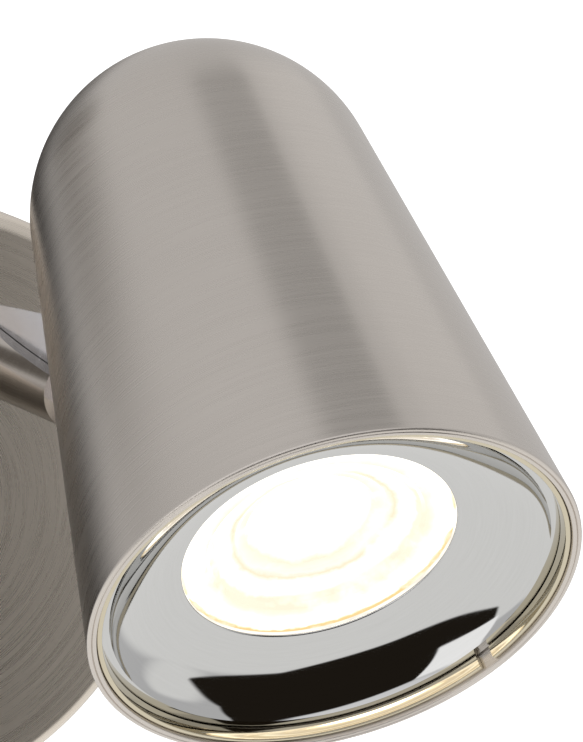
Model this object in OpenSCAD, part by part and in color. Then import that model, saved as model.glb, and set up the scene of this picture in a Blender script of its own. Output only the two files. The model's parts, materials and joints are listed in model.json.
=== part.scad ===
// Wall spotlight with one bullet-shaped head on a short tube arm.
//
// The origin is the middle of the round wall plate, on the wall. +Z is up and the wall faces -Y.
// The arm leaves the plate along -Y, above the plate's middle, and turns about its own axis.
// The head hangs from a flat lug that tilts between the two cheeks of the slotted arm end.

/* [Wall plate] */
// Diameter of the round plate
plate_d = 105; // [100:1:112]
// How far the plate's front stands off the wall
plate_depth = 24; // [22:1:28]
// Thickness of the pressed sheet
plate_sheet = 1.2; // [1:0.1:1.5]
// Radius of the plate's rolled front edge
plate_edge_r = 3; // [2:0.5:4]

/* [Wall strap] */
// Distance between the two wall screws
strap_slot_spacing = 60; // [56:1:62]
// Length of each slot for a wall screw, end to end
strap_slot_len = 14; // [10:1:14]
// Width of each slot for a wall screw
strap_slot_w = 5.2; // [4.5:0.1:5.5]
// Width of the strap
strap_w = 22; // [20:1:24]

/* [Arm] */
// Height of the arm above the middle of the plate
arm_height = 33; // [30:1:34]
// Outer diameter of the arm tube
arm_d = 12; // [12:0.2:12.6]
// Distance from the wall to the end of the arm
arm_reach = 82; // [80:1:86]
// Distance from the wall to the tilt pivot
pivot_reach = 52; // [51:1:54]
// Angle the arm is turned about its own axis, clockwise as seen from the room
pan_rest = 16.2; // [-30:0.1:30]

/* [Head] */
// Diameter of the head at its open mouth
mouth_d = 76; // [75:1:78]
// Slope of the head's wall to its axis
head_taper = 7.7; // [7.4:0.1:8]
// Length of the straight wall, from the mouth to the dome
straight_len = 79.5; // [79:0.5:82]
// Thickness of the head's wall
head_wall = 1.5; // [1.3:0.1:1.6]
// Angle of the light beam below the horizontal
tilt_rest = 37.9; // [0:0.1:80]

/* [Hinge lug] */
// Distance of the tilt pivot from the head's axis
pivot_off = 60.5; // [60:0.5:62]
// Distance of the tilt pivot behind the mouth
pivot_back = 98.5; // [98:0.5:100]
// Angle between the lug and the head's axis
lug_lean = 43.2; // [42.5:0.1:44]
// Thickness of the lug
lug_t = 3; // [2.8:0.1:3.2]
// Diameter of the pivot screw
pivot_d = 4; // [3.8:0.1:4.2]

/* [Lamp] */
// Diameter of the lit opening in the bezel
light_d = 42.4; // [40:0.2:43]
// How far the lit opening sits behind the mouth
light_recess = 9.2; // [8.8:0.2:9.6]
// Diameter of the lamp's face
lamp_d = 50; // [49:0.5:51]

/* [Hidden] */

$fn = 96;
eps = 0.01;
run_fit = 0.05;       // radial clearance of a shaft that turns in its hole
seat = 0.1;           // gap between two flat faces that turn on each other

plate_r = plate_d / 2;
bush_flange_t = 1;
canopy_hole_r = 6;
nipple_r = 5;
nipple_bore_r = 3.6;
arm_r = arm_d / 2;
arm_bore_r = 4.6;
arm_start = plate_depth + bush_flange_t + seat;
thread_len = 10;
slot_gap = lug_t + 0.5;
lug_high = 8.3;       // edge of the lug on the side of the light beam's back
lug_low = 5.9;        // edge of the lug on the other side
lug_tail_r = 8.6;
lug_len = 59;
lug_screw_at = 54.5;
lug_screw_sides = [-2.2, 4.5];
slot_back = pivot_reach - lug_tail_r - 0.7;
scoop_r = 312;        // radius of the shallow scoop along the top of the cheeks
scoop_low = [107, 0.94];
pivot_r = pivot_d / 2;
nut_h = 3.9;
screw_head_r = 3.6;
spacer_t = 0.2;
spacer_r = 5;

mouth_r = mouth_d / 2;
dome_r = (mouth_r - straight_len * tan(head_taper)) / cos(head_taper);
dome_mid = straight_len - dome_r * sin(head_taper);
wall_across = head_wall / cos(head_taper);
ledge_z = 3.6;
bezel_r = 35.7;
light_r = light_d / 2;
lens_z = light_recess + 1.3;
lamp_r = lamp_d / 2;
lamp_back = 60;
holder_z = lamp_back + 0.3;
holder_h = 17.7;
holder_r = 11.5;
pin_gap = 10;
sheet = 1.5;
bracket_z = holder_z + holder_h;
lead_hole_r = 2.6;    // hole in the bracket that the holder's two wires come out of

function arc(middle, r, from, to, steps) =
    [for (i = [0:steps]) let (a = from + (to - from) * i / steps) middle + r * [cos(a), sin(a)]];
// Inside radius of the straight wall at height z above the mouth
function inside_r(z) = mouth_r - wall_across - z * tan(head_taper);
// Point of the lug, in the head's side plane, at t along it and q to its high side
function lug_point(t, q) = [pivot_off - t * sin(lug_lean) - q * cos(lug_lean),
                            pivot_back - t * cos(lug_lean) + q * sin(lug_lean)];

// Places that the sub-parts are drawn in.
// Plate: z away from the wall, y up
module on_plate() { rotate([90, 0, 0]) children(); }
// Arm: z along the arm from the wall, y up, turned with the arm
module on_arm() { translate([0, 0, arm_height]) rotate([0, pan_rest, 0]) rotate([90, 0, 0]) children(); }
// Head: z from the mouth to the dome, y towards the pivot's side
module on_head() {
    on_arm() translate([0, 0, pivot_reach]) rotate([-180 + tilt_rest, 0, 0])
        translate([0, -pivot_off, -pivot_back]) children();
}
// Draws a flat shape, given as y and z, as a sheet that starts at x
module side_sheet(x, thickness) {
    translate([x, 0, 0]) rotate([90, 0, 90]) linear_extrude(thickness) children();
}
// A shaft along x, from x, through the point [y, z]
module cross_rod(x, length, at, r) {
    translate([x, at[0], at[1]]) rotate([0, 90, 0]) cylinder(r = r, h = length);
}
module ring(outer_r, inner_r, from, height) {
    translate([0, 0, from]) difference() {
        cylinder(r = outer_r, h = height);
        translate([0, 0, -1]) cylinder(r = inner_r, h = height + 2);
    }
}

// ---- Wall side ----

side_screw_u = 12;    // height of the side screws off the wall
side_screw_r = 2;
strap_t = 2;
tab_x = plate_r - plate_sheet - 1;
block_size = [20, 17, 13];
block_shift = 4;      // how far the terminal block's middle sits below the plate's
block_screw_r = 1.5;
pole_x = 5;
pole_z = 5;           // height of the wire holes above the block's foot
clamp_y = 4.5;
clamp_z = 8;
earth_x = 16;
earth_r = 2;
thread_fit = 0.05;    // radial gap between a screw and its tapped hole
bush_back = plate_depth - plate_sheet - 1;
stop_pin_at = 10.5;
stop_pin_r = 1.4;
pin_len = 1.6;        // how far the stop pin stands out behind the sheet and bush
nipple_back = 10;
washer_t = 1;         // spring washer and stop washer alike
nut_from = bush_back - seat - 2 * washer_t - nut_h;

// Pressed round cup, open to the wall
module canopy() {
    inner_edge = plate_edge_r - plate_sheet;
    corner = [plate_r - plate_edge_r, plate_depth - plate_edge_r];
    color("silver") on_plate() difference() {
        rotate_extrude($fn = 180) polygon(concat(
            [[plate_r - plate_sheet, 0], [plate_r, 0]],
            arc(corner, plate_edge_r, 0, 90, 10),
            [[0, plate_depth], [0, plate_depth - plate_sheet]],
            arc(corner, inner_edge, 90, 0, 8)));
        translate([0, arm_height, plate_depth - 5]) cylinder(r = canopy_hole_r, h = 10);
        for (side = [-1, 1])
            translate([side * plate_r, 0, side_screw_u]) rotate([0, 90, 0])
                translate([0, 0, -5]) cylinder(r = side_screw_r + 0.2, h = 10);
    }
}

// Strap behind the plate, with a slot for each wall screw and a bent tab for each side screw
module wall_strap() {
    tab_w = 16;
    tab_top = side_screw_u + 5;
    color("gainsboro") on_plate() difference() {
        union() {
            translate([-tab_x, -strap_w / 2 + 3, 0]) cube([2 * tab_x, tab_w, strap_t]);
            translate([-tab_x + 6, -strap_w / 2, 0]) cube([2 * tab_x - 12, strap_w, strap_t]);
            for (side = [-1, 1])
                translate([side > 0 ? tab_x - strap_t : -tab_x, -tab_w / 2, 0])
                    cube([strap_t, tab_w, tab_top]);
        }
        slot_straight = strap_slot_len - strap_slot_w;
        for (side = [-1, 1]) {
            for (end = [-1, 1])
                translate([side * strap_slot_spacing / 2 + end * slot_straight / 2, 0, -1])
                    cylinder(r = strap_slot_w / 2, h = strap_t + 2);
            translate([side * strap_slot_spacing / 2 - slot_straight / 2, -strap_slot_w / 2, -1])
                cube([slot_straight, strap_slot_w, strap_t + 2]);
            translate([side * tab_x, 0, side_screw_u]) rotate([0, 90, 0])
                translate([0, 0, -5]) cylinder(r = side_screw_r + thread_fit, h = 10);
        }
        translate([0, -block_shift, -1]) cylinder(r = block_screw_r + thread_fit, h = strap_t + 2);
        translate([earth_x, 0, -1]) cylinder(r = earth_r + thread_fit, h = strap_t + 2);
    }
}

// Screws that hold the plate to the strap's tabs, from the left and the right
module canopy_screws() {
    color("silver") on_plate() for (side = [0, 180])
        rotate([0, 0, side]) translate([0, 0, side_screw_u]) rotate([0, 90, 0]) difference() {
            union() {
                translate([0, 0, tab_x - 5]) cylinder(r = side_screw_r, h = plate_r - tab_x + 5 + eps);
                translate([0, 0, plate_r]) cylinder(r1 = 3.6, r2 = 2.8, h = 1.6);
            }
            translate([-0.4, -4, plate_r + 0.8]) cube([0.8, 8, 2]);
        }
}

// Two-pole block that the supply wires are clamped in
module terminal_block() {
    color("white") on_plate() translate([0, -block_shift, strap_t]) difference() {
        translate([-block_size[0] / 2, -block_size[1] / 2, 0]) cube(block_size);
        translate([0, 0, -1]) cylinder(r = block_screw_r + 0.15, h = block_size[2] + 2);
        for (pole = [-1, 1]) {
            translate([pole * pole_x, -block_size[1] / 2 - 1, pole_z]) rotate([-90, 0, 0])
                cylinder(r = 1.9, h = block_size[1] + 2);
            for (end = [-1, 1])
                translate([pole * pole_x, end * clamp_y, clamp_z]) cylinder(r = 1.7, h = block_size[2]);
        }
        translate([0, 0, 9]) cylinder(r = 3.1, h = block_size[2]);
    }
}

module terminal_screws() {
    color("goldenrod") on_plate() translate([0, -block_shift, strap_t])
        for (pole = [-1, 1], end = [-1, 1]) translate([pole * pole_x, end * clamp_y, clamp_z]) difference() {
            cylinder(r = 1.6, h = 3.4);
            translate([-2, -0.25, 2.6]) cube([4, 0.5, 2]);
        }
}

// Screw that holds the terminal block to the strap
module block_screw() {
    color("silver") on_plate() translate([0, -block_shift, 0.2]) difference() {
        union() {
            cylinder(r = block_screw_r, h = strap_t + 9.5);
            translate([0, 0, strap_t + 8.9]) cylinder(r = 2.8, h = 1.8);
        }
        translate([-4, -0.35, strap_t + 9.9]) cube([8, 0.7, 2]);
    }
}

// Screw and washer for the earth wire
module earth_screw() {
    color("goldenrod") on_plate() translate([earth_x, 0, 0.3]) difference() {
        union() {
            cylinder(r = earth_r, h = strap_t + 2);
            translate([0, 0, strap_t - 0.2]) cylinder(r = 4, h = 0.8);
            translate([0, 0, strap_t + 0.6]) cylinder(r = 3.4, h = 2.4);
        }
        translate([-5, -0.4, strap_t + 2]) cube([10, 0.8, 2]);
    }
}

// Nylon bush that the arm turns in
module swivel_bush() {
    color("ivory") on_plate() translate([0, arm_height, 0]) {
        difference() {
            union() {
                translate([0, 0, plate_depth]) cylinder(r = 8.5, h = bush_flange_t);
                translate([0, 0, bush_back])
                    cylinder(r = canopy_hole_r - 0.05, h = plate_depth - bush_back + eps);
            }
            translate([0, 0, bush_back - 1]) cylinder(r = nipple_r + run_fit, h = 8);
        }
    }
}

// Riveted pin inside the plate that stops the arm from turning all the way round
module stop_pin() {
    color("silver") on_plate() translate([0, arm_height + stop_pin_at, bush_back - pin_len])
        cylinder(r = stop_pin_r, h = plate_depth - plate_sheet - bush_back + pin_len);
}

// Round wire of radius r along a list of points
module wire(points, r) {
    for (i = [0:len(points) - 2])
        hull() {
            translate(points[i]) sphere(r = r, $fn = 12);
            translate(points[i + 1]) sphere(r = r, $fn = 12);
        }
}

// Two insulated wires from the terminal block to the back of the nipple
module canopy_leads() {
    lead_r = 1;
    color("saddlebrown") on_plate() for (side = [-1, 1])
        wire([[side * pole_x, 6 - block_shift, strap_t + pole_z], [side * pole_x, 14, 7],
              [side * 4.2, 21, 6.5], [side * 2.6, 28, 6.5], [side * 1.6, arm_height - 1, 8.6]], lead_r);
}

// ---- Arm, turns about its own axis ----

// Tube with a solid end, which is slotted into two cheeks whose top is scooped away towards the end
module arm_tube() {
    cheek_len = arm_reach - slot_back;
    color("silver") on_arm() difference() {
        translate([0, 0, arm_start]) cylinder(r = arm_r, h = arm_reach - arm_start);
        translate([0, 0, arm_start - 1]) cylinder(r = arm_bore_r, h = slot_back + 2 - arm_start);
        translate([0, 0, arm_start - 1]) cylinder(r = nipple_r + 0.05, h = thread_len + 1);
        translate([-slot_gap / 2, -arm_r - 1, slot_back]) cube([slot_gap, arm_d + 2, cheek_len + 1]);
        translate([0, scoop_low[1] + scoop_r, scoop_low[0]]) rotate([0, 90, 0])
            translate([0, 0, -arm_r - 1]) cylinder(r = scoop_r, h = arm_d + 2, $fn = 720);
        cross_rod(-arm_r - 1, arm_d + 2, [0, pivot_reach], pivot_r + 0.05);
    }
}

// Collar that covers the joint between the arm and the plate
module arm_collar() {
    height = 5;
    color("silver") on_arm() translate([0, 0, arm_start]) rotate_extrude() polygon(concat(
        [[arm_r + 0.05, 0], [9.4, 0]],
        arc([9.4 - 1.2, height - 1.2], 1.2, 0, 90, 8),
        [[arm_r + 0.05, height]]));
}

module swivel_nipple() {
    height = arm_start + thread_len - 0.5 - nipple_back;
    color("goldenrod") on_arm() ring(nipple_r, nipple_bore_r, nipple_back, height);
}

module swivel_nut() {
    color("goldenrod") on_arm() translate([0, 0, nut_from]) difference() {
        cylinder(r = 7.8, h = nut_h - seat, $fn = 6);
        translate([0, 0, -1]) cylinder(r = nipple_r + 0.05, h = nut_h + 2);
    }
}

module spring_washer() {
    color("dimgray") on_arm() ring(7.6, nipple_r + thread_fit, nut_from + nut_h, washer_t - seat);
}

// Washer with a tab that meets the stop pin
module stop_washer() {
    color("silver") on_arm() translate([0, 0, nut_from + nut_h + washer_t]) difference() {
        union() {
            cylinder(r = 7.8, h = washer_t);
            translate([-2, -stop_pin_at - 1.8, 0]) cube([4, stop_pin_at, washer_t]);
        }
        translate([0, 0, -1]) cylinder(r = nipple_r + 0.05, h = 4);
    }
}

// Glass-fibre sleeve that keeps the wires off the edges inside the nipple and tube
module arm_sleeve() {
    color("white") on_arm() ring(3.3, 2.5, nipple_back + 1, slot_back - nipple_back - 2);
}

// Screw across the cheeks, put in from the far side
module pivot_screw() {
    color("silver") on_arm() difference() {
        union() {
            cross_rod(-arm_r - 1.2, arm_d + 1.5, [0, pivot_reach], pivot_r);
            cross_rod(arm_r + 0.05, 2.2, [0, pivot_reach], screw_head_r);
        }
        translate([arm_r + 1.4, -0.5, pivot_reach - 5]) cube([3, 1, 10]);
    }
}

// Cap nut on the other cheek
module pivot_nut() {
    color("silver") on_arm() difference() {
        cross_rod(-arm_r - 2.05, 2, [0, pivot_reach], screw_head_r);
        cross_rod(-arm_r - 1.3, 3, [0, pivot_reach], pivot_r + 0.05);
    }
}

// Thin nylon discs between the lug and the cheeks
module pivot_spacers() {
    color("ivory") on_arm() for (side = [-1, 1]) difference() {
        cross_rod(side * (lug_t / 2 + 0.025 + spacer_t / 2) - spacer_t / 2, spacer_t, [0, pivot_reach], spacer_r);
        cross_rod(-arm_r, arm_d, [0, pivot_reach], pivot_r + 0.05);
    }
}

// ---- Head, tilts on the pivot ----

// Bullet-shaped shell, open at the mouth, with a rolled ledge inside that the bezel rests on
module head_shell() {
    ledge_in = 1;
    color("silver") on_head() difference() {
        rotate_extrude($fn = 180) polygon(concat(
            [[mouth_r, 0]],
            arc([0, dome_mid], dome_r, head_taper, 90, 24),
            arc([0, dome_mid], dome_r - head_wall, 90, head_taper, 24),
            [[inside_r(ledge_z + 2.6), ledge_z + 2.6], [inside_r(ledge_z) - ledge_in, ledge_z + 1.2],
             [inside_r(ledge_z) - ledge_in, ledge_z], [inside_r(ledge_z), ledge_z], [inside_r(0), 0]]));
        side_sheet(-slot_gap / 2, slot_gap) lug_outline(30, lug_len + 1, 0.2);
    }
}

// Flat outline of the lug in the head's side plane, from t to t, made wider by a margin
module lug_outline(from, to, margin) {
    translate([pivot_off, pivot_back]) rotate(-90 - lug_lean)
        translate([from, -lug_high - margin]) square([to - from, lug_high + lug_low + 2 * margin]);
}

// Flat steel lug: round tail on the pivot, straight bar into the head
module hinge_lug() {
    color("lightsteelblue") on_head() difference() {
        side_sheet(-lug_t / 2, lug_t) {
            lug_outline(0, lug_len, 0);
            intersection() {
                lug_outline(-lug_tail_r, 1, 0);
                translate([pivot_off, pivot_back]) circle(r = lug_tail_r);
            }
        }
        cross_rod(-lug_t, 2 * lug_t, [pivot_off, pivot_back], pivot_r + run_fit);
        for (q = lug_screw_sides)
            cross_rod(-lug_t, 2 * lug_t, lug_point(lug_screw_at, q), 1.55);
    }
}

// Screws that join the lug and the lamp bracket inside the head
module lug_screws() {
    color("silver") on_head() for (q = lug_screw_sides) {
        at = lug_point(lug_screw_at, q);
        difference() {
            union() {
                cross_rod(-lug_t / 2 - 0.05, lug_t + sheet + 2, at, 1.5);
                cross_rod(-lug_t / 2 - 1.65, 1.6, at, 2.6);
            }
            translate([-lug_t / 2 - 1.7, at[0] - 3, at[1] - 0.3]) cube([0.8, 6, 0.6]);
        }
    }
}

// Bent sheet: a cheek beside the lug and a plate across the top of the lamp holder
module lamp_bracket() {
    cheek_x = lug_t / 2 + 0.05;
    color("gainsboro") on_head() difference() {
        union() {
            side_sheet(cheek_x, sheet)
                polygon([[15.5, 60.5], [24.2, 52.6], [27.6, 56.4], [23, 62.5], [23, bracket_z + sheet],
                         [15.5, bracket_z + sheet]]);
            translate([-12, -11, bracket_z + 0.05]) cube([12 + cheek_x + sheet, 21.5, sheet - 0.05]);
            translate([-1, 10, bracket_z + 0.05]) cube([1 + cheek_x + sheet, 13, sheet - 0.05]);
        }
        for (q = lug_screw_sides) cross_rod(0, 10, lug_point(lug_screw_at, q), 1.55);
        for (side = [-1, 1]) translate([-5, side * 7, bracket_z - 1]) cylinder(r = 1.6, h = 5);
        translate([0, 0, bracket_z - 1]) cylinder(r = lead_hole_r, h = 5);
    }
}

// Ceramic holder with two keyhole sockets for the lamp's pins
module lamp_holder() {
    color("white") on_head() translate([0, 0, holder_z]) difference() {
        union() {
            cylinder(r = holder_r, h = holder_h);
            translate([-holder_r, -4.5, 0]) cube([2 * holder_r, 9, holder_h - 4]);
        }
        for (side = [-1, 1]) {
            translate([side * pin_gap / 2, 0, -1]) cylinder(r = 2.8, h = 9.5);
            translate([side * pin_gap / 2, 0, 8]) cylinder(r = 1.3, h = holder_h);
            translate([-5, side * 7, 10]) cylinder(r = 1.55, h = 10);
        }
    }
}

module holder_screws() {
    color("silver") on_head() for (side = [-1, 1]) translate([-5, side * 7, 0]) difference() {
        union() {
            translate([0, 0, holder_z + 11])
                cylinder(r = 1.5, h = bracket_z + sheet - holder_z - 11 + 0.1);
            translate([0, 0, bracket_z + sheet + 0.05]) cylinder(r = 2.7, h = 1.7);
        }
        translate([-3, -0.3, bracket_z + sheet + 1]) cube([6, 0.6, 2]);
    }
}

// Spring contacts at the bottom of the sockets
module holder_contacts() {
    color("goldenrod") on_head() for (side = [-1, 1]) translate([side * pin_gap / 2, 0, holder_z + 6.4])
        cylinder(r = 2.6, h = 2);
}

// Two heat-proof wires from the holder towards the lug
module holder_leads() {
    lead_r = 0.9;
    color("linen") on_head() for (side = [-1, 1])
        wire([[side * 1.05, 0, bracket_z + lead_r + 0.05], [side * 1.05, 0.2, bracket_z + 2.8],
              [0.6 + side * 1.15, 4, bracket_z + 4.8], [5.6 + side * 1.1, 12, bracket_z + 4],
              [5.7 + side * 1.1, 19.5, bracket_z - 3], [5.7 + side * 1.1, 20.5, bracket_z - 12]], lead_r);
}

lens_r = lamp_r - 1.75;
lens_back = lens_z + 2.1;
cup_floor = lens_z + 10.5;
board_t = 1.5;
chip_h = 0.8;
chip_z = cup_floor - 0.05 - board_t - chip_h;

// Lamp: front cup for the board and lens, ribbed cone, neck
module lamp_body() {
    cup_r = lamp_r - 1.6;
    neck_r = 11.2;
    ribs = 24;
    color("whitesmoke") on_head() difference() {
        rotate_extrude() polygon([
            [0, cup_floor], [15, cup_floor], [cup_r - 1.4, lens_back + 0.05], [cup_r, lens_back + 0.05],
            [cup_r, lens_z], [lamp_r - 0.8, lens_z], [lamp_r, lens_z + 1], [lamp_r, lens_z + 8],
            [lamp_r - 1.5, lens_z + 10], [neck_r + 1, 46], [neck_r, 47], [neck_r, lamp_back], [0, lamp_back]]);
        for (i = [0:ribs - 1]) rotate([0, 0, i * 360 / ribs])
            translate([neck_r + 1.8, -0.7, lens_z + 13]) cube([20, 1.4, 22]);
    }
}

module lamp_pins() {
    color("silver") on_head() for (side = [-1, 1]) translate([side * pin_gap / 2, 0, lamp_back]) {
        cylinder(r = 1.5, h = 4);
        translate([0, 0, 4]) cylinder(r = 2.4, h = 2.6);
    }
}

// Round board with one round light-emitting chip and its two solder pads
module led_board() {
    color("gold") on_head() translate([0, 0, chip_z]) {
        translate([0, 0, chip_h]) cylinder(r = 14.5, h = board_t);
        cylinder(r = 4.8, h = chip_h + eps);
        for (side = [-1, 1]) translate([side * 8.5, 0, chip_h - 0.3]) cylinder(r = 1.3, h = 0.3 + eps);
    }
}

// Deep clear lens: a well over the chip, two steps and a rim on its lit face
module lamp_lens() {
    front = [[0, 6.2], [4, 6.4], [7.6, 7.3], [8.4, 6.9], [9.4, 4.6], [10.2, 3.9], [11.4, 3.6], [12, 3.1],
             [15.6, 1.9], [16.4, 1.3], [17, 0.5], [17.8, 0.2], [21.6, 0.1], [lens_r, 0.4]];
    back = [[lens_r, 2.1], [21.4, 2.1], [20, 3], [9.6, 8], [5.9, 8], [5.4, 7.6], [0, 7.4]];
    color("lightyellow") on_head() rotate_extrude()
        polygon([for (p = concat(front, back)) [p[0], lens_z + p[1]]]);
}

// Polished dish that closes the mouth around the lamp
module bezel() {
    sag = 1.2;
    t = 0.8;
    seat_z = ledge_z - t - 0.05;
    flat_r = bezel_r - 1.8;
    steps = 12;
    dish = [for (i = [0:steps]) let (f = i / steps)
        [flat_r + (light_r - flat_r) * f, seat_z + (light_recess - seat_z) * f + sag * 4 * f * (1 - f)]];
    back = [for (i = [steps:-1:0]) dish[i] + [0, t]];
    color("white") on_head() rotate_extrude($fn = 180)
        polygon(concat([[bezel_r, seat_z]], dish, back, [[bezel_r, seat_z + t]]));
}

// Split spring band, pressed against the inside of the wall, that keeps the bezel on its ledge
module retaining_ring() {
    low_z = 0.5;
    high_z = 2.6;
    band_t = 0.8;
    gap_angle = 4;
    gap_at = 16;
    color("white") on_head() difference() {
        rotate_extrude($fn = 180) polygon([
            [inside_r(low_z) - seat, low_z], [inside_r(high_z) - seat, high_z],
            [inside_r(high_z) - seat - band_t, high_z], [inside_r(low_z) - seat - band_t, low_z]]);
        rotate([0, 0, gap_at]) translate([0, -mouth_r * sin(gap_angle / 2), -1])
            cube([mouth_r, 2 * mouth_r * sin(gap_angle / 2), 5]);
    }
}

canopy();
wall_strap();
canopy_screws();
terminal_block();
terminal_screws();
block_screw();
earth_screw();
swivel_bush();
stop_pin();
canopy_leads();
arm_tube();
arm_collar();
swivel_nipple();
swivel_nut();
spring_washer();
stop_washer();
arm_sleeve();
pivot_screw();
pivot_nut();
pivot_spacers();
head_shell();
hinge_lug();
lug_screws();
lamp_bracket();
lamp_holder();
holder_screws();
holder_contacts();
holder_leads();
lamp_body();
lamp_pins();
led_board();
lamp_lens();
bezel();
retaining_ring();
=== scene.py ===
"""Wall spotlight with a bullet-shaped head: its looks, light and camera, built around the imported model.

Outlines are in millimetres and Blender's objects are in metres. Each piece is drawn in the place of its own
body: plate (z away from the wall), arm (z along the arm) or head (z from the mouth to the dome).
"""
import json
import math

import bmesh
import bpy
from mathutils import Matrix, Vector


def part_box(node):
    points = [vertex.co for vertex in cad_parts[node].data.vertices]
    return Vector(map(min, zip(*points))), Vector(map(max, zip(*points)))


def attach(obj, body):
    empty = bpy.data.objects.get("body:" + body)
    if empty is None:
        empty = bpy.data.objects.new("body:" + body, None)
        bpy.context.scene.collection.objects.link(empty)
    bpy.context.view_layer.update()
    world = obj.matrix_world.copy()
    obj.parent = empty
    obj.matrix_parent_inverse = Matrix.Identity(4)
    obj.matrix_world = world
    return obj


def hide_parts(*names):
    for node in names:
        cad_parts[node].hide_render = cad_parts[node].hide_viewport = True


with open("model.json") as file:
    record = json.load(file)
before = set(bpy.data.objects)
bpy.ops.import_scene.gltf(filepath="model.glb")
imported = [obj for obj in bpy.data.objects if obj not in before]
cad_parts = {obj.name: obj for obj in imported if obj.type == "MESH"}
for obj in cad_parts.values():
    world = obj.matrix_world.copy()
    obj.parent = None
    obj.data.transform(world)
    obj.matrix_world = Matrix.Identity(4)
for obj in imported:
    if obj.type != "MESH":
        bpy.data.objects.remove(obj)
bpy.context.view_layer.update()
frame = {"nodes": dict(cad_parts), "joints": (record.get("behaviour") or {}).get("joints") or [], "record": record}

MM = 0.001
JOINTS = {joint["name"]: joint for joint in frame["joints"]}
BODIES = frame["record"]["behaviour"]["bodies"]
NODE_BODY = {node: body for body, nodes in BODIES.items() for node in nodes}
NODE_SLOT = {part["node"]: part["material_slot"] for part in frame["record"]["subparts"]}

# ---- Sizes, in millimetres, and angles, in radians ----

# Head
MOUTH_R = 38.0
TAPER = math.radians(7.7)
STRAIGHT_LEN = 79.5
HEAD_WALL = 1.5
TILT_REST = math.radians(37.9)
LEDGE_Z = 3.6
DOME_R = (MOUTH_R - STRAIGHT_LEN * math.tan(TAPER)) / math.cos(TAPER)
DOME_MID = STRAIGHT_LEN - DOME_R * math.sin(TAPER)
WALL_ACROSS = HEAD_WALL / math.cos(TAPER)

# Hinge lug
PIVOT_OFF = 60.5
PIVOT_BACK = 98.5
LUG_LEAN = math.radians(43.2)
LUG_SLOT = 3.4
LUG_HIGH = 8.3
LUG_LOW = 5.9

# Bezel, ring and lamp
BEZEL_R = 35.7
BEZEL_T = 0.8
LIGHT_R = 21.2
LIGHT_RECESS = 9.2
LENS_Z = LIGHT_RECESS + 1.3
LENS_R = 23.25
RING_T = 0.8
RING_LOW = 0.5
RING_HIGH = 2.6
RING_PLAY = 0.1  # gap between the ring and the head's wall
RING_GAP = math.radians(4)
RING_GAP_AT = math.radians(16)
CHIP_R = 4.8
BRACKET_Z = 78.0
HOLDER_WIRE_R = 0.9

# Wall plate and arm
PLATE_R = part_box("canopy")[1].x / MM
PLATE_DEPTH = -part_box("canopy")[0].y / MM
PLATE_SHEET = 1.2
PLATE_EDGE_R = 3.0
BUSH_HOLE_R = 6.0
SIDE_SCREW_U = 12.0
SIDE_SCREW_HOLE_R = 2.2
ARM_HEIGHT = JOINTS["arm_turn"]["pos_m"][2] / MM
PIVOT_REACH = -JOINTS["head_tilt"]["pos_m"][1] / MM
PAN_REST = math.atan2(-JOINTS["head_tilt"]["axis"][2], JOINTS["head_tilt"]["axis"][0])
ARM_R = 6.0
SUPPLY_WIRE_R = 1.0
COLLAR_R = 9.4
COLLAR_H = 5.0
ARM_START = PLATE_DEPTH + 1.1

FIT = 0.05  # gap between a piece and what it sits on
SOFT_EDGE_R = 0.15  # radius of the rounding on small pieces
STEPS = 240  # facets round a turned piece
SMOOTH_STEPS = 288  # facets round the plate, the bezel and its ring
SHARP_ANGLE = math.radians(38)  # edges that bend more than this are shaded sharp


# ---- Places ----

def shift(x, y, z):
    return Matrix.Translation(Vector((x, y, z)) * MM)


def turn(angle, axis):
    return Matrix.Rotation(angle, 4, axis)


ON_PLATE = turn(math.radians(90), "X")
ON_ARM = shift(0, 0, ARM_HEIGHT) @ turn(PAN_REST, "Y") @ ON_PLATE
ON_HEAD = (ON_ARM @ shift(0, 0, PIVOT_REACH) @ turn(TILT_REST - math.pi, "X")
           @ shift(0, -PIVOT_OFF, -PIVOT_BACK))
PLACES = {"wall_plate": ON_PLATE, "arm": ON_ARM, "head": ON_HEAD}


# ---- Mesh helpers ----

def arc(middle, radius, start, end, steps):
    """Points (x, y, 0) along an arc; the last value is the corner radius that rounded() reads."""
    points = []
    for i in range(steps + 1):
        angle = start + (end - start) * i / steps
        points.append((middle[0] + radius * math.cos(angle), middle[1] + radius * math.sin(angle), 0))
    return points


def rounded(outline, steps=4):
    """Rounds each (x, y, radius) corner of a closed outline and returns its (x, y) points."""
    points = []
    for i, (x, y, radius) in enumerate(outline):
        corner = Vector((x, y))
        if radius == 0:
            points.append(corner)
            continue
        back = (Vector(outline[i - 1][:2]) - corner).normalized()
        onward = (Vector(outline[(i + 1) % len(outline)][:2]) - corner).normalized()
        half = back.angle(onward) / 2
        middle = corner + (back + onward).normalized() * radius / math.sin(half)
        first = corner + back * radius / math.tan(half) - middle
        last = corner + onward * radius / math.tan(half) - middle
        start = math.atan2(first.y, first.x)
        sweep = (math.atan2(last.y, last.x) - start + math.pi) % (2 * math.pi) - math.pi
        for step in range(steps + 1):
            angle = start + sweep * step / steps
            points.append(middle + radius * Vector((math.cos(angle), math.sin(angle))))
    return points


def lathe(outline, steps=STEPS):
    """Turns a closed outline of (radius, height) points round Z."""
    bm = bmesh.new()
    rings = []
    for radius, height in outline:
        count = 1 if radius < 1e-6 else steps
        angles = [2 * math.pi * i / steps for i in range(count)]
        rings.append([bm.verts.new((radius * math.cos(a) * MM, radius * math.sin(a) * MM, height * MM))
                      for a in angles])
    for near, far in zip(rings, rings[1:] + rings[:1]):
        if len(near) == len(far) == 1:
            continue
        for i in range(steps):
            corners = [near[i % len(near)], near[(i + 1) % len(near)],
                       far[(i + 1) % len(far)], far[i % len(far)]]
            bm.faces.new(list(dict.fromkeys(corners)))
    bmesh.ops.recalc_face_normals(bm, faces=bm.faces)
    return bm


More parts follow.
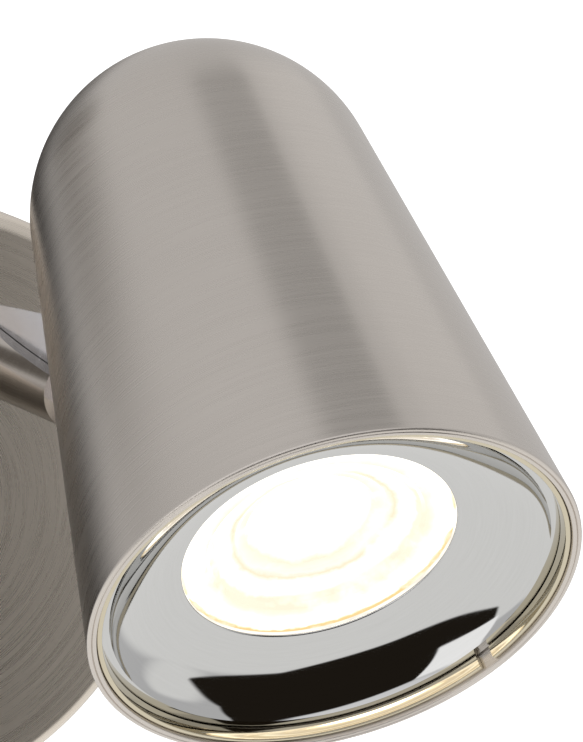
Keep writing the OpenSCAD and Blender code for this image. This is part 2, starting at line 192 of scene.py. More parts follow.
def prism(corners_low, corners_high):
    """A closed solid between two loops with the same number of corners, in millimetres."""
    bm = bmesh.new()
    low = [bm.verts.new(Vector(c) * MM) for c in corners_low]
    high = [bm.verts.new(Vector(c) * MM) for c in corners_high]
    bm.faces.new(low)
    bm.faces.new(high)
    for i in range(len(low)):
        j = (i + 1) % len(low)
        bm.faces.new([low[i], low[j], high[j], high[i]])
    bmesh.ops.recalc_face_normals(bm, faces=bm.faces)
    return bm


def rod(radius, start, end, steps=48):
    """A cutter: a cylinder of a radius between two points, in millimetres."""
    start, end = Vector(start), Vector(end)
    turned = (end - start).to_track_quat("Z", "Y").to_matrix()
    loop = [turned @ Vector((radius * math.cos(2 * math.pi * i / steps),
                             radius * math.sin(2 * math.pi * i / steps), 0)) for i in range(steps)]
    return prism([start + p for p in loop], [end + p for p in loop])


def link_object(name, bm):
    """Turns a mesh into an object in the scene."""
    mesh = bpy.data.meshes.new(name)
    bm.to_mesh(mesh)
    bm.free()
    obj = bpy.data.objects.new(name, mesh)
    bpy.context.scene.collection.objects.link(obj)
    return obj


def cut(bm, *tools):
    """Takes the tools' shapes out of a mesh."""
    target = link_object("target", bm)
    cutters = [link_object("cutter", tool) for tool in tools]
    for cutter in cutters:
        modifier = target.modifiers.new("cut", "BOOLEAN")
        modifier.object = cutter
        modifier.solver = "EXACT"
    evaluated = target.evaluated_get(bpy.context.evaluated_depsgraph_get())
    result = bmesh.new()
    result.from_mesh(evaluated.to_mesh())
    evaluated.to_mesh_clear()
    for obj in [target, *cutters]:
        bpy.data.objects.remove(obj)
    return result


def tube(bm, points, radius, sides=14, material=0):
    """Adds a closed tube of a radius along a list of points, in millimetres."""
    points = [Vector(p) for p in points]
    side = (points[1] - points[0]).orthogonal().normalized()
    rings = []
    for i, point in enumerate(points):
        ahead = (points[min(i + 1, len(points) - 1)] - points[max(i - 1, 0)]).normalized()
        side = (side - ahead * side.dot(ahead)).normalized()
        up = ahead.cross(side)
        rings.append([bm.verts.new((point + radius * (side * math.cos(a) + up * math.sin(a))) * MM)
                      for a in (2 * math.pi * k / sides for k in range(sides))])
    faces = [bm.faces.new(rings[0]), bm.faces.new(rings[-1])]
    for near, far in zip(rings, rings[1:]):
        for k in range(sides):
            faces.append(bm.faces.new([near[k], near[(k + 1) % sides], far[(k + 1) % sides], far[k]]))
    for face in faces:
        face.material_index = material


def smooth_path(points, steps=8):
    """A smooth curve through given points (Catmull-Rom)."""
    points = [Vector(p) for p in points]
    ends = [points[0] * 2 - points[1], *points, points[-1] * 2 - points[-2]]
    path = []
    for before, start, end, after in zip(ends, ends[1:], ends[2:], ends[3:]):
        for i in range(steps):
            t = i / steps
            path.append(0.5 * (2 * start + (end - before) * t
                               + (2 * before - 5 * start + 4 * end - after) * t ** 2
                               + (3 * start - before - 3 * end + after) * t ** 3))
    return path + [points[-1]]


def finish_piece(name, bm, body, nodes, materials):
    """Makes the object, shades it smooth up to the sharp angle, ties it to its body and hides its CAD nodes."""
    bmesh.ops.recalc_face_normals(bm, faces=bm.faces)
    for face in bm.faces:
        face.smooth = True
    for edge in bm.edges:
        edge.smooth = len(edge.link_faces) == 2 and edge.calc_face_angle(0) < SHARP_ANGLE
    bmesh.ops.transform(bm, matrix=PLACES[body], verts=bm.verts)
    obj = link_object(name, bm)
    for material in materials:
        obj.data.materials.append(material)
    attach(obj, body)
    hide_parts(*nodes)
    return obj


def softened(node, material):
    """A finer copy of a CAD node: its flat faces joined up and its edges rounded over."""
    body = NODE_BODY[node]
    bm = bmesh.new()
    bm.from_mesh(frame["nodes"][node].data)
    bmesh.ops.transform(bm, matrix=PLACES[body].inverted(), verts=bm.verts)
    bmesh.ops.remove_doubles(bm, verts=bm.verts, dist=2e-6)
    bmesh.ops.dissolve_limit(bm, angle_limit=math.radians(1), verts=bm.verts, edges=bm.edges)
    corners = [e for e in bm.edges if len(e.link_faces) == 2 and e.calc_face_angle(0) > math.radians(40)]
    bmesh.ops.bevel(bm, geom=corners, offset=SOFT_EDGE_R * MM, segments=2, profile=0.5,
                    affect="EDGES", clamp_overlap=True)
    obj = finish_piece("fine_" + node, bm, body, [node], [material])
    obj.modifiers.new("flat_faces", "WEIGHTED_NORMAL").keep_sharp = True
    return obj


# ---- Materials ----

class Finish:
    """One material, built node by node round a Principled shader."""

    def __init__(self, name, body=None, **values):
        """With a body's name, measure(), radius(), turned() and round_tangent() use that body's axes."""
        self.frame = PLACES[body] if body else Matrix.Identity(4)
        self.material = bpy.data.materials.new(name)
        self.material.use_nodes = True
        self.tree = self.material.node_tree
        self.shader = self.tree.nodes["Principled BSDF"]
        for key, value in values.items():
            self.shader.inputs[key.replace("_", " ")].default_value = value

    def add(self, kind, inputs, **settings):
        node = self.tree.nodes.new("ShaderNode" + kind)
        for key, value in settings.items():
            setattr(node, key, value)
        for key, value in inputs.items():
            if isinstance(value, bpy.types.NodeSocket):
                self.tree.links.new(value, node.inputs[key])
            else:
                node.inputs[key].default_value = value
        return node

    def math(self, operation, first, second=0.0):
        return self.add("Math", {0: first, 1: second}, operation=operation).outputs[0]

    def vector(self, operation, first, second, output="Vector"):
        return self.add("VectorMath", {0: first, 1: second}, operation=operation).outputs[output]

    def place(self):
        """Coordinates fixed to the piece, in metres."""
        return self.add("TexCoord", {}).outputs["Object"]

    def from_axis(self):
        return self.vector("SUBTRACT", self.place(), self.frame.translation)

    def measure(self, axis):
        """Distance along one of the body's own axes (0, 1 or 2), in metres."""
        return self.vector("DOT_PRODUCT", self.from_axis(), self.frame.col[axis].to_3d(), "Value")

    def radius(self):
        """Distance from the body's own axis, in metres."""
        arm = self.vector("CROSS_PRODUCT", self.frame.col[2].to_3d(), self.from_axis())
        return self.add("VectorMath", {0: arm}, operation="LENGTH").outputs["Value"]

    def turned(self, around, along):
        """Coordinates in which noise runs round the axis: around is in spots to a radian of turn, and
        along in lines to a metre down the surface."""
        radius = self.math("MAXIMUM", self.radius(), 1e-5)
        down = self.math("MULTIPLY", self.math("SUBTRACT", self.measure(2), radius), along)
        cosine = self.math("MULTIPLY", self.math("DIVIDE", self.measure(0), radius), around)
        sine = self.math("MULTIPLY", self.math("DIVIDE", self.measure(1), radius), around)
        return self.add("CombineXYZ", {0: cosine, 1: sine, 2: down}).outputs[0]

    def round_tangent(self):
        """Direction of the turning lines, in the room."""
        lines = self.vector("CROSS_PRODUCT", self.frame.col[2].to_3d(), self.from_axis())
        return self.add("VectorTransform", {0: lines}, vector_type="VECTOR", convert_from="OBJECT",
                        convert_to="WORLD").outputs[0]

    def noise(self, where, scale, detail=4.0, roughness=0.55):
        values = {"Vector": where, "Scale": scale, "Detail": detail, "Roughness": roughness}
        return self.add("TexNoise", values).outputs["Fac"]

    def spread(self, value, low, high, value_low=0.3, value_high=0.7):
        values = {"Value": value, "From Min": value_low, "From Max": value_high,
                  "To Min": low, "To Max": high}
        return self.add("MapRange", values).outputs["Result"]

    def mix(self, factor, first, second):
        values = {"Factor": factor, 6: (*first, 1.0) if isinstance(first, tuple) else first,
                  7: (*second, 1.0) if isinstance(second, tuple) else second}
        return self.add("Mix", values, data_type="RGBA").outputs[2]

    def ramp(self, value, stops):
        node = self.add("ValToRGB", {"Fac": value})
        elements = node.color_ramp.elements
        for position, _ in stops[2:]:
            elements.new(position)
        for element, (position, colour) in zip(elements, stops):
            element.position = position
            element.color = (*colour, 1.0)
        return node.outputs["Color"]

    def bump(self, height, depth, strength=1.0, under=None):
        values = {"Height": height, "Distance": depth * MM, "Strength": strength}
        if under is not None:
            values["Normal"] = under
        return self.add("Bump", values).outputs["Normal"]

    def wire(self, **links):
        for key, socket in links.items():
            self.tree.links.new(socket, self.shader.inputs[key.replace("_", " ")])
        return self.material


def satin_nickel(name, body, anisotropy, rough, line_depth, tone=(0.620, 0.573, 0.526)):
    """Warm satin plating over fine turning lines, which smear the reflections across themselves."""
    darker = tuple(0.97 * value for value in tone)
    lighter = tuple(1.03 * value for value in tone)
    finish = Finish(name, body, Metallic=1.0, Anisotropic=anisotropy, Anisotropic_Rotation=0.25)
    fine = finish.noise(finish.turned(2.4, 5200.0), 1.0, 3.0)
    streak = finish.noise(finish.turned(0.9, 900.0), 1.0, 5.0, 0.65)
    cloud = finish.noise(finish.place(), 45.0, 2.0)
    colour = finish.mix(finish.spread(streak, 0.0, 1.0), darker, lighter)
    colour = finish.mix(finish.spread(cloud, 0.0, 0.5), colour, darker)
    gloss = finish.math("ADD", finish.spread(fine, rough - 0.03, rough + 0.03),
                        finish.spread(streak, -0.02, 0.03))
    lines = finish.math("ADD", finish.math("MULTIPLY", fine, 0.6), finish.math("MULTIPLY", streak, 1.0))
    normal = finish.bump(lines, line_depth, 0.55)
    return finish.wire(Base_Color=colour, Roughness=gloss, Normal=normal, Tangent=finish.round_tangent())


def polished_chrome(name, low, high):
    """Mirror plating with faint polishing hairlines and a slight ripple."""
    finish = Finish(name, "head", Metallic=1.0)
    hair = finish.noise(finish.turned(3.0, 2600.0), 1.0, 4.0)
    ripple = finish.noise(finish.place(), 120.0, 1.0)
    colour = finish.mix(finish.spread(hair, 0.0, 1.0), low, high)
    normal = finish.bump(ripple, 0.010, 0.25, finish.bump(hair, 0.002, 0.12))
    return finish.wire(Base_Color=colour, Roughness=finish.spread(hair, 0.025, 0.06), Normal=normal)


def bright_zinc():
    """Cool plated steel with faint blotches and rolling marks."""
    finish = Finish("bright_zinc", Metallic=1.0)
    blotch = finish.noise(finish.place(), 260.0, 5.0, 0.6)
    grain = finish.noise(finish.place(), 2600.0, 2.0)
    colour = finish.mix(finish.spread(blotch, 0.0, 1.0), (0.700, 0.700, 0.735), (0.760, 0.760, 0.800))
    normal = finish.bump(grain, 0.006, 0.35)
    return finish.wire(Base_Color=colour, Roughness=finish.spread(blotch, 0.18, 0.28), Normal=normal)


def brass():
    finish = Finish("brass", Metallic=1.0)
    lines = finish.noise(finish.place(), 900.0, 4.0)
    colour = finish.mix(finish.spread(lines, 0.0, 1.0), (0.62, 0.43, 0.17), (0.78, 0.58, 0.28))
    normal = finish.bump(lines, 0.01, 0.3)
    return finish.wire(Base_Color=colour, Roughness=finish.spread(lines, 0.22, 0.36), Normal=normal)


def spring_steel():
    finish = Finish("spring_steel", Metallic=1.0)
    bloom = finish.noise(finish.place(), 500.0, 4.0)
    colour = finish.mix(finish.spread(bloom, 0.0, 1.0), (0.10, 0.11, 0.14), (0.22, 0.21, 0.22))
    normal = finish.bump(bloom, 0.01, 0.3)
    return finish.wire(Base_Color=colour, Roughness=finish.spread(bloom, 0.30, 0.45), Normal=normal)


def moulded(name, low, high, rough_low, rough_high, grain=1800.0, depth=0.012, **values):
    """A moulded or fired part: two close tones, a fine surface grain and uneven gloss."""
    finish = Finish(name, **values)
    tone = finish.noise(finish.place(), grain / 12, 3.0)
    skin = finish.noise(finish.place(), grain, 2.0)
    colour = finish.mix(finish.spread(tone, 0.0, 1.0), low, high)
    rough = finish.spread(tone, rough_low, rough_high)
    return finish.wire(Base_Color=colour, Roughness=rough, Normal=finish.bump(skin, depth, 0.5))


def lamp_board():
    """White solder mask with a yellow round chip in the middle."""
    finish = Finish("lamp_board", "head")
    radius = finish.math("MULTIPLY", finish.radius(), 1 / MM)
    grain = finish.noise(finish.place(), 2400.0, 3.0)
    chip = finish.spread(radius, 1.0, 0.0, CHIP_R - 0.4, CHIP_R - 0.1)  # fades out at the chip's edge
    mask = finish.mix(finish.spread(grain, 0.0, 1.0), (0.80, 0.80, 0.77), (0.86, 0.86, 0.84))
    phosphor = finish.mix(finish.spread(grain, 0.0, 1.0), (0.85, 0.62, 0.10), (0.95, 0.74, 0.18))
    return finish.wire(Base_Color=finish.mix(chip, mask, phosphor),
                       Roughness=finish.spread(grain, 0.35, 0.5), Normal=finish.bump(grain, 0.01, 0.4))


def woven_sleeve():
    """Glass-fibre sleeve: two sets of yarns that cross round the tube."""
    yarns = 12.0
    twist = 5000.0  # radians to a metre
    finish = Finish("woven_sleeve", "arm")
    angle = finish.math("ARCTAN2", finish.measure(1), finish.measure(0))
    around = finish.math("MULTIPLY", angle, yarns)
    along = finish.math("MULTIPLY", finish.measure(2), twist)
    right = finish.math("SINE", finish.math("ADD", around, along))
    left = finish.math("SINE", finish.math("SUBTRACT", around, along))
    weave = finish.math("MULTIPLY", right, left)
    colour = finish.mix(finish.spread(weave, 0.0, 1.0, -1.0, 1.0), (0.55, 0.54, 0.50), (0.88, 0.87, 0.83))
    return finish.wire(Base_Color=colour, Normal=finish.bump(weave, 0.08, 0.8))


def lit_lens():
    """Clear moulding lit from behind: a white-hot well, cloudy amber steps and a bright rim."""
    finish = Finish("lit_lens", "head", Roughness=0.12, Emission_Strength=1.0)
    radius = finish.math("MULTIPLY", finish.radius(), 1 / MM / LENS_R)
    uneven = finish.noise(finish.place(), 330.0, 3.0, 0.6)
    cloud = finish.noise(finish.place(), 130.0, 4.0, 0.6)
    wavy = finish.math("ADD", radius, finish.spread(cloud, -0.03, 0.03))
    white, cream, amber, dim = (6.0, 5.6, 4.9), (1.08, 0.99, 0.90), (1.03, 0.90, 0.71), (0.97, 0.80, 0.57)
    glow = finish.ramp(wavy, [
        (0.0, white), (0.30, white), (0.36, (1.7, 1.6, 1.4)), (0.42, amber), (0.50, cream), (0.535, dim),
        (0.56, cream), (0.63, (1.7, 1.65, 1.5)), (0.68, amber), (0.73, amber), (0.77, cream),
        (0.83, (2.2, 2.1, 1.9)), (0.895, (1.9, 1.8, 1.6)), (0.92, (0.95, 0.70, 0.32))])
    glow = finish.mix(finish.spread(cloud, 0.0, 0.7, 0.50, 0.66), glow, (1.3, 1.2, 1.05))
    normal = finish.bump(uneven, 0.02, 0.4)
    colour = finish.mix(finish.spread(uneven, 0.0, 1.0), (0.06, 0.055, 0.045), (0.10, 0.09, 0.07))
    return finish.wire(Base_Color=colour, Emission_Color=glow, Normal=normal)


def make_materials():
    return {
        "satin_head": satin_nickel("satin_head", "head", anisotropy=0.75, rough=0.28, line_depth=0.004),
        # The arm's plating has a darker tone than the head's: painted shade, standing for the shade the head casts
        # over the arm.
        "satin_arm_shaded": satin_nickel("satin_arm_shaded", "arm", anisotropy=0.2, rough=0.14, line_depth=0.001,
                                  tone=(0.540, 0.490, 0.440)),
        "satin_plate": satin_nickel("satin_plate", "wall_plate", anisotropy=0.1, rough=0.28,
                                    line_depth=0.0005, tone=(0.720, 0.650, 0.565)),
        "satin_nickel": satin_nickel("satin_nickel", "wall_plate", anisotropy=0.0, rough=0.30,
                                     line_depth=0.004),
        "polished_chrome": polished_chrome("polished_chrome", (0.555, 0.553, 0.545), (0.575, 0.573, 0.566)),
        "polished_spring": polished_chrome("polished_spring", (0.590, 0.530, 0.400), (0.620, 0.560, 0.430)),
        "bright_zinc": bright_zinc(),
        "brass": brass(),
        "spring_steel": spring_steel(),
        "white_plastic": moulded("white_plastic", (0.78, 0.78, 0.76), (0.84, 0.84, 0.82), 0.38, 0.5),
        "nylon": moulded("nylon", (0.78, 0.75, 0.66), (0.84, 0.81, 0.72), 0.32, 0.44,
                         Subsurface_Weight=0.15, Subsurface_Scale=0.001),
        "ceramic": moulded("ceramic", (0.74, 0.71, 0.66), (0.84, 0.82, 0.77), 0.62, 0.78,
                           grain=1100.0, depth=0.02),
        "lamp_plastic": moulded("lamp_plastic", (0.80, 0.80, 0.79), (0.85, 0.85, 0.84), 0.22, 0.32),
        "lens": lit_lens(),
        "board": lamp_board(),
        "sleeve": woven_sleeve(),
        "wire_insulation": moulded("wire_white", (0.70, 0.69, 0.66), (0.78, 0.77, 0.74), 0.4, 0.55),
        "wire_brown": moulded("wire_brown", (0.10, 0.045, 0.022), (0.15, 0.07, 0.035), 0.35, 0.5),
        "wire_blue": moulded("wire_blue", (0.02, 0.07, 0.24), (0.03, 0.11, 0.33), 0.35, 0.5),
    }


MATERIALS = make_materials()


# ---- Head ----

def inside_r(height):
    """Inner radius of the head's tapered part, at a height above the mouth."""
    return MOUTH_R - WALL_ACROSS - height * math.tan(TAPER)


def lug_point(along, across):
    """Point (y, z) of the lug in the head's side plane, from the pivot along it and to its high side."""
    return (PIVOT_OFF - along * math.sin(LUG_LEAN) - across * math.cos(LUG_LEAN),
            PIVOT_BACK - along * math.cos(LUG_LEAN) + across * math.sin(LUG_LEAN))


def head_shell():
    """Spun shell with a rounded lip, a fine groove in the lip, a ledge inside and a slot for the lug."""
    ledge_r = inside_r(LEDGE_Z) - 1.0
    ledge_top = LEDGE_Z + 1.2
    slope_end = LEDGE_Z + 2.6
    groove_r = MOUTH_R - 0.8
    groove_half = 0.12
    groove_depth = 0.14
    slot_start, slot_end = 30, 60  # measured along the lug from the pivot
    slot_play = 0.2
    slot_low, slot_high = -LUG_LOW - slot_play, LUG_HIGH + slot_play
    outline = [(MOUTH_R, 0, 0.4)]
    outline += arc((0, DOME_MID), DOME_R, TAPER, math.pi / 2, 60)
    outline += arc((0, DOME_MID), DOME_R - HEAD_WALL, math.pi / 2, TAPER, 40)
    outline += [(inside_r(slope_end), slope_end, 0.5), (ledge_r, ledge_top, 0.3),
                (ledge_r, LEDGE_Z, 0.15), (inside_r(LEDGE_Z), LEDGE_Z, 0.1), (inside_r(0), 0, 0.2),
                (groove_r - groove_half, 0, 0), (groove_r, groove_depth, 0),
                (groove_r + groove_half, 0, 0)]
    corners = [lug_point(slot_start, slot_low), lug_point(slot_end, slot_low),
               lug_point(slot_end, slot_high), lug_point(slot_start, slot_high)]
    slot = prism([(-LUG_SLOT / 2, y, z) for y, z in corners], [(LUG_SLOT / 2, y, z) for y, z in corners])
    bm = cut(lathe(rounded(outline)), slot)
    return finish_piece("head_shell_spun", bm, "head", ["head_shell"],
                        [MATERIALS["satin_head"]])


def bezel_dish():
    """Polished dish from the flat seat at the ledge to the lit opening, with a rolled inner lip."""
    sag = 1.2  # how much deeper than a cone the dish is, half way in
    steepness = 0.35  # how much the dish steepens at its outer edge
    edge_width = 0.05  # share of the dish over which it does so
    seat_z = LEDGE_Z - BEZEL_T - FIT
    seat_width = 1.8
    flat_r = BEZEL_R - seat_width
    steps = 60
    dish = []
    for i in range(steps + 1):
        f = i / steps
        steep_edge = steepness * (1 - math.exp(-f / edge_width)) * (1 - f)
        dish.append((flat_r + (LIGHT_R - flat_r) * f,
                     seat_z + (LIGHT_RECESS - seat_z) * f + sag * 4 * f * (1 - f) + steep_edge, 0.0))
    front = [(BEZEL_R, seat_z, 0.2), (dish[0][0], dish[0][1], 0.0), *dish[1:-1], (*dish[-1][:2], 0.3)]
    back = [(r, z + BEZEL_T, 0.0) for r, z, corner in reversed(dish)]
    outline = front + back + [(BEZEL_R, seat_z + BEZEL_T, 0.2)]
    return finish_piece("bezel_dish", lathe(rounded(outline), SMOOTH_STEPS), "head", ["bezel"],
                        [MATERIALS["polished_chrome"]])


def spring_ring():
    """Split band close against the inside of the wall, with softened edges."""
    low_r = inside_r(RING_LOW) - RING_PLAY
    high_r = inside_r(RING_HIGH) - RING_PLAY
    outline = rounded([(low_r, RING_LOW, SOFT_EDGE_R), (high_r, RING_HIGH, SOFT_EDGE_R),
                       (high_r - RING_T, RING_HIGH, SOFT_EDGE_R), (low_r - RING_T, RING_LOW, SOFT_EDGE_R)])
    half_gap = MOUTH_R * math.sin(RING_GAP / 2)
    along = Vector((math.cos(RING_GAP_AT), math.sin(RING_GAP_AT)))
    across = Vector((-along.y, along.x)) * half_gap
    corners = [-across, along * MOUTH_R - across, along * MOUTH_R + across, across]
    gap = prism([(*corner, -1) for corner in corners], [(*corner, 5) for corner in corners])
    return finish_piece("spring_ring", cut(lathe(outline, SMOOTH_STEPS), gap), "head", ["retaining_ring"],
                        [MATERIALS["polished_spring"]])


def stepped_lens():
    """Deep lens: a well over the chip, two steps with fine rings, and a rim."""
    front = [(0, 6.2, 0), (2.0, 6.25, 0), (4.0, 6.4, 0), (6.0, 6.8, 0), (7.6, 7.3, 0.3), (8.4, 6.9, 0.3),
             (9.4, 4.6, 0.3), (10.2, 3.9, 0.3), (11.4, 3.6, 0.2), (12.0, 3.1, 0.3), (15.6, 1.9, 0.3),
             (16.4, 1.3, 0.3), (17.0, 0.5, 0.2), (17.8, 0.2, 0.2), (21.6, 0.1, 0), (LENS_R, 0.4, 0.2)]
    back = [(LENS_R, 2.1, 0.2), (21.4, 2.1, 0.2), (20.0, 3.0, 0.2), (9.6, 8.0, 0.2), (5.9, 8.0, 0.1),
            (5.4, 7.6, 0.1), (0, 7.4, 0)]
    outline = [(r, LENS_Z + z, corner) for r, z, corner in front + back]
    return finish_piece("stepped_lens", lathe(rounded(outline)), "head", ["lamp_lens"],
                        [MATERIALS["lens"]])


def lamp_wires():
    """Two silicone wires from the holder round the bracket towards the lug."""
    bm = bmesh.new()
    for side in (-1, 1):
        route = [(side * 1.05, 0, BRACKET_Z + 0.95), (side * 1.05, 0.2, BRACKET_Z + 2.8),
                 (0.6 + side * 1.15, 4, BRACKET_Z + 4.8), (5.6 + side * 1.1, 12, BRACKET_Z + 4),
                 (5.7 + side * 1.1, 19.5, BRACKET_Z - 3), (5.7 + side * 1.1, 20.5, BRACKET_Z - 12)]
        tube(bm, smooth_path(route), HOLDER_WIRE_R)
    return finish_piece("lamp_wires", bm, "head", ["holder_leads"],
                        [MATERIALS["wire_insulation"]])


# ---- Wall plate and arm ----

def plate_cup():
    """Pressed cup with a rolled front edge and holes for the arm's bush and the side screws."""
    corner = (PLATE_R - PLATE_EDGE_R, PLATE_DEPTH - PLATE_EDGE_R)
    outline = [(PLATE_R - PLATE_SHEET, 0, 0.2), (PLATE_R, 0, 0.2)]
    outline += arc(corner, PLATE_EDGE_R, 0, math.pi / 2, 16)
    outline += [(0, PLATE_DEPTH, 0), (0, PLATE_DEPTH - PLATE_SHEET, 0)]
    outline += arc(corner, PLATE_EDGE_R - PLATE_SHEET, math.pi / 2, 0, 12)
    reach = 5  # how far the cutters stand out
    arm_hole = rod(BUSH_HOLE_R, (0, ARM_HEIGHT, PLATE_DEPTH - reach),
                   (0, ARM_HEIGHT, PLATE_DEPTH + reach), steps=72)
    screw_holes = rod(SIDE_SCREW_HOLE_R, (-PLATE_R - reach, 0, SIDE_SCREW_U),
                      (PLATE_R + reach, 0, SIDE_SCREW_U))
    bm = cut(lathe(rounded(outline), SMOOTH_STEPS), arm_hole, screw_holes)
    return finish_piece("plate_cup", bm, "wall_plate", ["canopy"],
                        [MATERIALS["satin_plate"]])


def supply_wires():
    """A brown and a blue wire from the terminal block to the back of the nipple."""
    bm = bmesh.new()
    for index, side in enumerate((-1, 1)):
        route = [(side * 5, 2, 7), (side * 5, 14, 7), (side * 4.2, 21, 6.5), (side * 2.6, 28, 6.5),
                 (side * 1.6, ARM_HEIGHT - 1, 8.6)]
        tube(bm, smooth_path(route), SUPPLY_WIRE_R, material=index)
    return finish_piece("supply_wires", bm, "wall_plate", ["canopy_leads"],
                        [MATERIALS["wire_brown"], MATERIALS["wire_blue"]])


def collar():
    """Turned collar that covers the joint between the arm and the plate."""
    inner_r = ARM_R + FIT
    outline = [(inner_r, ARM_START, 0), (COLLAR_R, ARM_START, 0.2),
               (COLLAR_R, ARM_START + COLLAR_H, 1.2), (inner_r, ARM_START + COLLAR_H, 0.25)]
    return finish_piece("collar_turned", lathe(rounded(outline, steps=8), steps=120), "arm", ["arm_collar"],
                        [MATERIALS["satin_arm_shaded"]])


head_shell()
bezel_dish()
spring_ring()
stepped_lens()
lamp_wires()
plate_cup()
supply_wires()
collar()
softened("arm_tube", MATERIALS["satin_arm_shaded"])
for small in ("canopy_screws", "wall_strap", "terminal_block", "terminal_screws", "block_screw",
              "earth_screw", "stop_pin", "swivel_bush", "swivel_nut", "stop_washer", "spring_washer",
              "swivel_nipple", "pivot_screw", "pivot_nut", "pivot_spacers", "hinge_lug", "lug_screws",
              "lamp_bracket", "lamp_holder", "holder_screws", "holder_contacts", "lamp_pins",
              "lamp_body"):
    softened(small, MATERIALS[NODE_SLOT[small]])
# The nodes without a finer copy, the sleeve and the board, are shown as they are.
for name, node in frame["nodes"].items():
    node.data.materials.clear()
    node.data.materials.append(MATERIALS[NODE_SLOT[name]])


# ---- Camera ----

AZIMUTH, ELEVATION = -31.07, 13.85  # where the camera stands, in degrees
CAMERA_DISTANCE = 900.0
AIM_RIGHT, AIM_UP = -6.64, 33.14  # where the camera looks, from the middle of the mouth
FOCAL_LENGTH = 376.2


def direction(azimuth, elevation):
    """Unit vector towards an azimuth and elevation in degrees; azimuth 0 is straight out of the wall."""
    a, e = math.radians(azimuth), math.radians(elevation)
    return Vector((math.sin(a) * math.cos(e), -math.cos(a) * math.cos(e), math.sin(e)))


def make_camera():
    back = direction(AZIMUTH, ELEVATION)
    right = Vector((math.cos(math.radians(AZIMUTH)), math.sin(math.radians(AZIMUTH)), 0))
    up = back.cross(right)
    data = bpy.data.cameras.new("camera")
    data.lens = FOCAL_LENGTH
    data.sensor_fit = "HORIZONTAL"
    data.sensor_width = 36.0
    camera = bpy.data.objects.new("camera", data)
    bpy.context.scene.collection.objects.link(camera)
    place = Matrix((right, up, back)).transposed().to_4x4()
    aim = right * AIM_RIGHT + up * AIM_UP + back * CAMERA_DISTANCE
    place.translation = ON_HEAD.translation + aim * MM
    camera.matrix_world = place
    bpy.context.scene.camera = camera


# ---- Studio ----

UP = Vector((0, 0, 1))
TO_ROOM = Vector((0, -1, 0))  # away from the wall


def edge_between(first, second):
    """Normal of the plane through two (azimuth, elevation) directions and the object."""
    return direction(*first).cross(direction(*second)).normalized()


def head_edge(angle):
    """Normal and offset of the line in the room that the head mirrors at an angle round it."""
    tangent = ON_HEAD.to_3x3() @ Vector((-math.sin(math.radians(angle)), math.cos(math.radians(angle)), 0))
    return tangent, -direction(AZIMUTH, ELEVATION).dot(tangent)


class Room:
    """The studio round the object, as a world shader: soft-edged patches of light by direction."""

    def __init__(self):
        self.world = bpy.data.worlds.new("studio")
        bpy.context.scene.world = self.world
        self.world.use_nodes = True
        self.tree = self.world.node_tree
        self.tree.nodes.clear()
        self.towards = self.add("TexCoord", {}).outputs["Generated"]

    add = Finish.add

    def side(self, normal, offset, softness):
        """1 on the side of a plane that its normal points to, 0 on the other, with a soft edge."""
        along = self.add("VectorMath", {0: self.towards, 1: normal}, operation="DOT_PRODUCT")
        values = {"Value": along.outputs["Value"],
                  "From Min": offset - softness, "From Max": offset + softness}
        return self.add("MapRange", values, interpolation_type="SMOOTHSTEP").outputs["Result"]

    def above(self, elevation, softness):
        return self.side(UP, math.sin(math.radians(elevation)), softness)

    def below(self, elevation, softness):
        return self.side(-UP, -math.sin(math.radians(elevation)), softness)

    def left_of(self, start, end, softness):
        """1 to the left of the line from start to end, on a chart of azimuth rightwards, elevation up."""
        return self.side(edge_between(start, end), 0.0, softness)

    def within(self, azimuth, elevation, spread, softness):
        """1 in a disc of the room, at most spread degrees from its middle."""
        return self.side(direction(azimuth, elevation), math.cos(math.radians(spread)), softness)

    def combine(self, operation, first, second):
        """Two patches made into one, kept between 0 and 1."""
        values = {0: first, 1: second}
        return self.add("Math", values, operation=operation, use_clamp=True).outputs[0]

    def patch(self, sides):
        """1 where all the sides are 1."""
        value = sides[0]
        for other in sides[1:]:
            value = self.combine("MULTIPLY", value, other)
        return value

    def lay(self, under, patch, colour):
        """The light with one more patch of a colour on top."""
        values = {"Factor": patch, 6: under, 7: (*colour, 1.0)}
        return self.add("Mix", values, data_type="RGBA").outputs[2]


# Each function from here to make_room() returns the light of one patch and where it is.

def front_box(room):
    """Large soft box in front, which the lug mirrors by way of the wall plate."""
    return (0.98, 0.98, 1.0), room.patch([room.above(-3, 0.05), room.side(direction(-35, 25), 0.7, 0.1)])


def pale_floor(room):
    """White sweep from well below the object outwards, which reaches higher to the flag's right."""
    sweep = room.below(-34, 0.03)
    raised = room.patch([room.below(-15, 0.06), room.within(52, -25, 14, 0.02)])
    return (1.0, 0.998, 0.985), room.combine("MAXIMUM", sweep, raised)


def ceiling_gap(room):
    """Gap between two overhead soft boxes, which the head mirrors as a dark band that fades to its dome."""
    right_edge, right_at = head_edge(254)
    left_edge, left_at = head_edge(236)
    sides = [room.side(-right_edge, -right_at, 0.012), room.side(left_edge, left_at, 0.09),
             room.within(170, 70, 40, 0.08), room.side(TO_ROOM, -0.36, 0.14)]
    return (0.40, 0.40, 0.40), room.patch(sides)


def dim_wall(room):
    """Dimmer part of the room above the dark corner, which the top of the arm's cheek mirrors."""
    return (0.14, 0.13, 0.12), room.within(-160, 18, 13, 0.02)


def dark_corner(room):
    """Unlit wall side of the room, which the head's left edge and the arm's cheek mirror."""
    sides = [room.side(edge_between((-148, -12), (-170, -3)), -0.15, 0.35),
             room.above(-32, 0.03), room.within(-176, -18, 35, 0.03)]
    return (0.015, 0.013, 0.012), room.patch(sides)


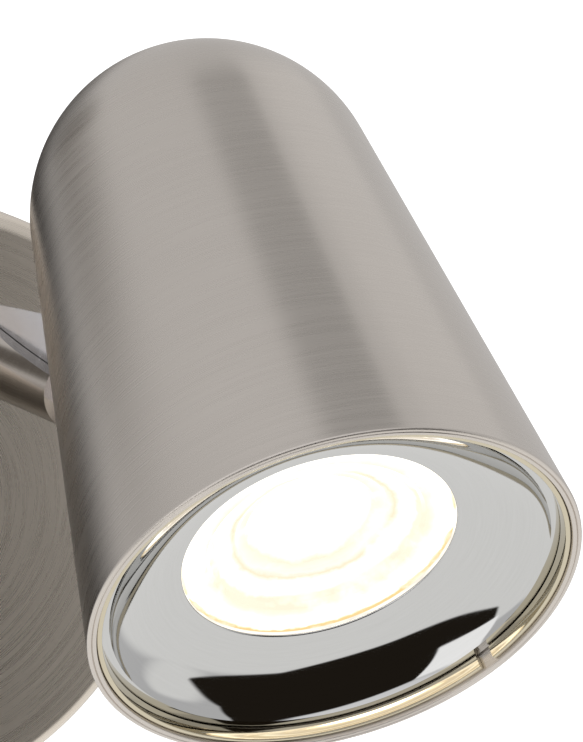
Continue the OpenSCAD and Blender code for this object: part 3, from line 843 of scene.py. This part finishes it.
def front_flag(room):
    """Dark flag low in front, with a lower tail to its left, which the bezel mirrors."""
    slanted = room.left_of((43.5, -28), (31, -13), 0.02)
    upright = room.left_of((31, -60), (31, 0), 0.02)
    reach = room.patch([room.combine("MAXIMUM", slanted, upright),
                        room.left_of((-71, 0), (-71, -60), 0.02),
                        room.left_of((33, 20), (-43, -5), 0.03)])
    foot = [(-62, -47), (-19, -44), (12, -35), (43, -30)]  # the flag's lower edge
    under = room.patch([room.left_of(end, start, 0.012) for start, end in zip(foot, foot[1:])])
    return (0.018, 0.014, 0.010), room.combine("SUBTRACT", reach, under)


def flag_window(room):
    """White card in front of the flag's left end, above its tail."""
    sides = [room.left_of((-70, -38), (-44, -33), 0.012), room.left_of((-43, -60), (-43, 0), 0.012),
             room.left_of((-74, 0), (-74, -60), 0.02), room.below(-5, 0.05)]
    return (1.35, 1.35, 1.35), room.patch(sides)


def make_room():
    """Lays the patches over an even grey room, the later ones on top; the camera itself sees white."""
    room = Room()
    light = (0.67, 0.67, 0.675, 1.0)
    for make in (front_box, pale_floor, ceiling_gap, dim_wall, dark_corner, front_flag, flag_window):
        level, patch = make(room)
        light = room.lay(light, patch, level)
    camera_ray = room.add("LightPath", {}).outputs["Is Camera Ray"]
    seen = room.lay(light, camera_ray, (1.0, 1.0, 1.0))
    background = room.add("Background", {"Color": seen, "Strength": 1.0})
    output = room.tree.nodes.new("ShaderNodeOutputWorld")
    room.tree.links.new(background.outputs[0], output.inputs["Surface"])


def make_floor():
    """Plain pale floor well below the wall light; it shows to the camera only."""
    half, depth = 12.0, 0.45  # in metres
    bm = bmesh.new()
    bmesh.ops.create_grid(bm, x_segments=8, y_segments=8, size=half)
    floor = link_object("floor", bm)
    floor.location.z = -depth
    finish = Finish("floor_white", Emission_Strength=0.85, Roughness=0.8)
    shade = finish.noise(finish.place(), 3.0, 2.0)
    colour = finish.mix(finish.spread(shade, 0.0, 1.0), (0.86, 0.86, 0.86), (0.90, 0.90, 0.90))
    floor.data.materials.append(finish.wire(Base_Color=colour, Emission_Color=colour))
    floor.visible_glossy = False
    floor.visible_diffuse = False
    floor.visible_shadow = False


def soft_box(name, azimuth, elevation, distance, size, power):
    """Area light that faces the head's mouth from a distance in metres."""
    data = bpy.data.lights.new(name, "AREA")
    data.shape = "RECTANGLE"
    data.size, data.size_y = size
    data.energy = power
    light = bpy.data.objects.new(name, data)
    bpy.context.scene.collection.objects.link(light)
    towards = direction(azimuth, elevation)
    light.location = ON_HEAD.translation + towards * distance
    light.rotation_mode = "QUATERNION"
    light.rotation_quaternion = towards.to_track_quat("Z", "Y")


make_camera()
make_room()
make_floor()
soft_box("key_box", azimuth=115, elevation=38, distance=1.6, size=(0.9, 0.9), power=0.35)
soft_box("fill_box", azimuth=-70, elevation=30, distance=1.8, size=(1.0, 1.2), power=0.3)
bpy.context.scene.view_settings.view_transform = "Standard"
